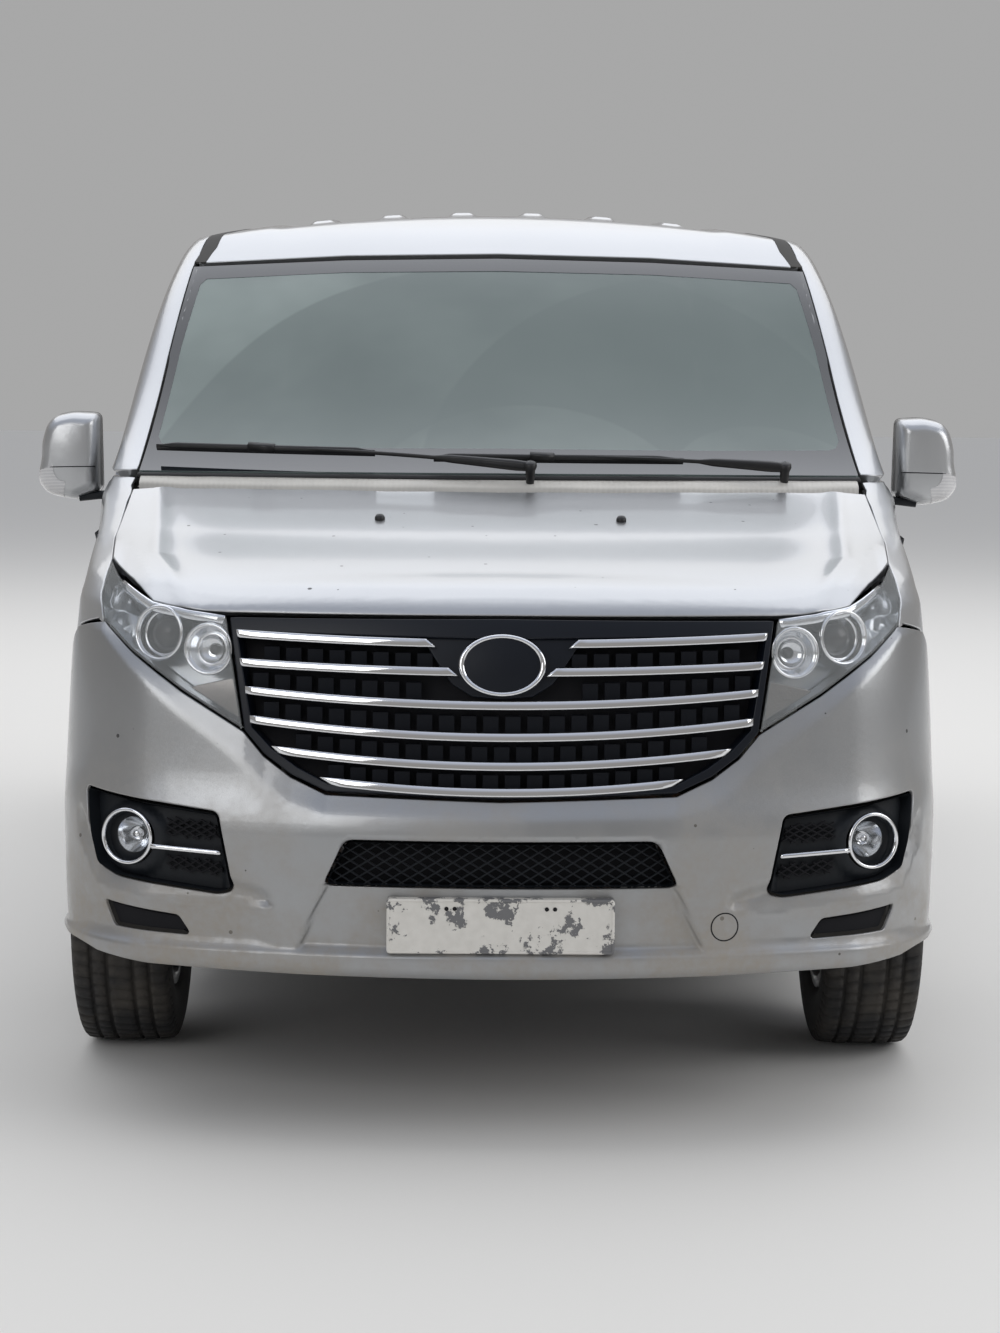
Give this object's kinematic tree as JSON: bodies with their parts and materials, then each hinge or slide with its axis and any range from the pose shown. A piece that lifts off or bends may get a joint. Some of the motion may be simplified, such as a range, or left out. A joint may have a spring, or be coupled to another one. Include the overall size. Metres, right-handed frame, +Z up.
{
  "type": "minivan",
  "caption": "Silver family minivan with short sloping bonnet, hinged front doors, sliding side doors, lifting tailgate and steering front wheels; the wheels roll freely.",
  "frame": {"origin": "on the ground below the middle of the vehicle", "axes": "+Z up, the nose towards -Y, +X to the vehicle's left side"},
  "size_m": [2.2, 5.12, 1.9551],
  "materials": {
    "body_paint": "metallic gloss",
    "glass": "clear, lightly tinted",
    "grille_dark": "gloss",
    "chrome": "polished",
    "lamp": "clear",
    "tail_lamp_red": "clear",
    "black_plastic": "grained",
    "seat_fabric": "woven",
    "tyre": "matt",
    "rim": "painted silver",
    "chassis": "satin black",
    "iron": "as cast",
    "exhaust_steel": "dull",
    "floor": "satin"
  },
  "bodies": {
    "body": {"bulkhead": "floor", "centre_pillar_left": "black_plastic", "centre_pillar_right": "black_plastic", "cowl": "black_plastic", "dashboard": "black_plastic", "engine": "iron", "exhaust": "exhaust_steel", "floor_pan": "floor", "front_bumper": "body_paint", "front_fender_left": "body_paint", "front_fender_right": "body_paint", "front_panel": "body_paint", "front_seat_left": "seat_fabric", "front_seat_right": "seat_fabric", "front_suspension": "chassis", "front_wheel_liner_left": "black_plastic", "front_wheel_liner_right": "black_plastic", "grille": "grille_dark", "grille_bars": "chrome", "headlamp_left": "lamp", "headlamp_right": "lamp", "middle_bench": "seat_fabric", "propshaft": "chassis", "quarter_glass_left": "glass", "quarter_glass_right": "glass", "rear_axle": "chassis", "rear_bench": "seat_fabric", "rear_bumper": "body_paint", "roof_panel": "body_paint", "side_panel_left": "body_paint", "side_panel_right": "body_paint", "sliding_door_left": "body_paint", "sliding_door_right": "body_paint", "sliding_glass_left": "glass", "sliding_glass_right": "glass", "tail_lamp_left": "tail_lamp_red", "tail_lamp_right": "tail_lamp_red", "windscreen": "glass", "wiper_left": "black_plastic", "wiper_right": "black_plastic"},
    "bonnet": {"bonnet": "body_paint"},
    "tailgate": {"tailgate": "body_paint", "tailgate_glass": "glass"},
    "front_door_left": {"front_door_left": "body_paint", "front_glass_left": "glass", "mirror_left": "body_paint"},
    "front_door_right": {"front_door_right": "body_paint", "front_glass_right": "glass", "mirror_right": "body_paint"},
    "knuckle_left": {"knuckle_left": "iron"},
    "knuckle_right": {"knuckle_right": "iron"},
    "wheel_front_left": {"tyre_front_left": "tyre", "rim_front_left": "rim"},
    "wheel_front_right": {"tyre_front_right": "tyre", "rim_front_right": "rim"},
    "wheel_rear_left": {"tyre_rear_left": "tyre", "rim_rear_left": "rim"},
    "wheel_rear_right": {"tyre_rear_right": "tyre", "rim_rear_right": "rim"},
    "steering_wheel": {"steering_wheel": "black_plastic"}
  },
  "joints": [
    {"name": "bonnet_hinge", "type": "hinge", "parent": "body", "child": "bonnet", "pos_m": [0, -1.427, 1.254], "axis": [-1, 0, 0], "range_deg": [0, 55]},
    {"name": "tailgate_hinge", "type": "hinge", "parent": "body", "child": "tailgate", "pos_m": [0, 2.36, 1.884], "axis": [1, 0, 0], "range_deg": [0, 80]},
    {"name": "front_door_left_hinge", "type": "hinge", "parent": "body", "child": "front_door_left", "pos_m": [0.943, -1.218, 0.9], "axis": [0, 0, -1], "range_deg": [0, 65]},
    {"name": "front_door_right_hinge", "type": "hinge", "parent": "body", "child": "front_door_right", "pos_m": [-0.943, -1.218, 0.9], "axis": [0, 0, 1], "range_deg": [0, 65]},
    {"name": "steer_left", "type": "hinge", "parent": "body", "child": "knuckle_left", "pos_m": [0.782, -1.63, 0.343], "axis": [0, 0, 1], "range_deg": [-32, 32]},
    {"name": "steer_right", "type": "hinge", "parent": "body", "child": "knuckle_right", "pos_m": [-0.782, -1.63, 0.343], "axis": [0, 0, 1], "range_deg": [-32, 32]},
    {"name": "steering_column", "type": "hinge", "parent": "body", "child": "steering_wheel", "pos_m": [0.37, -0.77, 1.1], "axis": [0, 0.9063, 0.4226], "range_deg": [-540, 540]},
    {"name": "front_left_wheel_spin", "type": "hinge", "parent": "knuckle_left", "child": "wheel_front_left", "pos_m": [0.8175, -1.63, 0.343], "axis": [1, 0, 0], "continuous": true},
    {"name": "front_right_wheel_spin", "type": "hinge", "parent": "knuckle_right", "child": "wheel_front_right", "pos_m": [-0.8175, -1.63, 0.343], "axis": [1, 0, 0], "continuous": true},
    {"name": "rear_left_wheel_spin", "type": "hinge", "parent": "body", "child": "wheel_rear_left", "pos_m": [0.8175, 1.45, 0.343], "axis": [1, 0, 0], "continuous": true},
    {"name": "rear_right_wheel_spin", "type": "hinge", "parent": "body", "child": "wheel_rear_right", "pos_m": [-0.8175, 1.45, 0.343], "axis": [1, 0, 0], "continuous": true}
  ],
  "couplings": [
    {"joint": "steer_right", "follows": "steer_left", "ratio": 1},
    {"joint": "steering_column", "follows": "steer_left", "ratio": 16.875}
  ]
}
